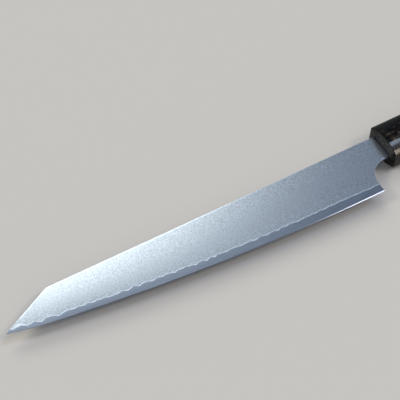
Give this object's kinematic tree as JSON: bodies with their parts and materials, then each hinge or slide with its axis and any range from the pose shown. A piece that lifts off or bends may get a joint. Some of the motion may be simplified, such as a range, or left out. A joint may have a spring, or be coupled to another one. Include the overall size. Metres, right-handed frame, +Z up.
{
  "type": "carving knife",
  "caption": "Slicing and carving knife with a clipped point, layered blade, rounded choil and octagonal hidden-tang handle, lying on its side.",
  "frame": {"origin": "middle of the base of the whole knife, lying on its side, on the plane of the handle's lower facet", "axes": "+X from the tip to the butt, +Y from the cutting edge to the spine, +Z up, out of the upper blade face"},
  "size_m": [0.415, 0.0456, 0.0202],
  "materials": {
    "core_steel": "smooth ground high-carbon stainless steel",
    "bond_foil": "bright nickel bonding layer",
    "cladding_steel": "fine bead-blasted stainless steel",
    "ferrule_burl": "glossy resin-stabilised dark burl",
    "handle_wood": "glossy resin-stabilised dark wood",
    "dowel_wood": "bare turned hardwood",
    "tang_resin": "cast epoxy resin"
  },
  "bodies": {
    "root": {"blade_core": "core_steel", "bond_foil_upper": "bond_foil", "bond_foil_lower": "bond_foil", "cladding_upper": "cladding_steel", "cladding_lower": "cladding_steel", "ferrule": "ferrule_burl", "handle_body": "handle_wood", "dowel_half_upper": "dowel_wood", "dowel_half_lower": "dowel_wood", "tang_adhesive": "tang_resin"}
  },
  "joints": []
}
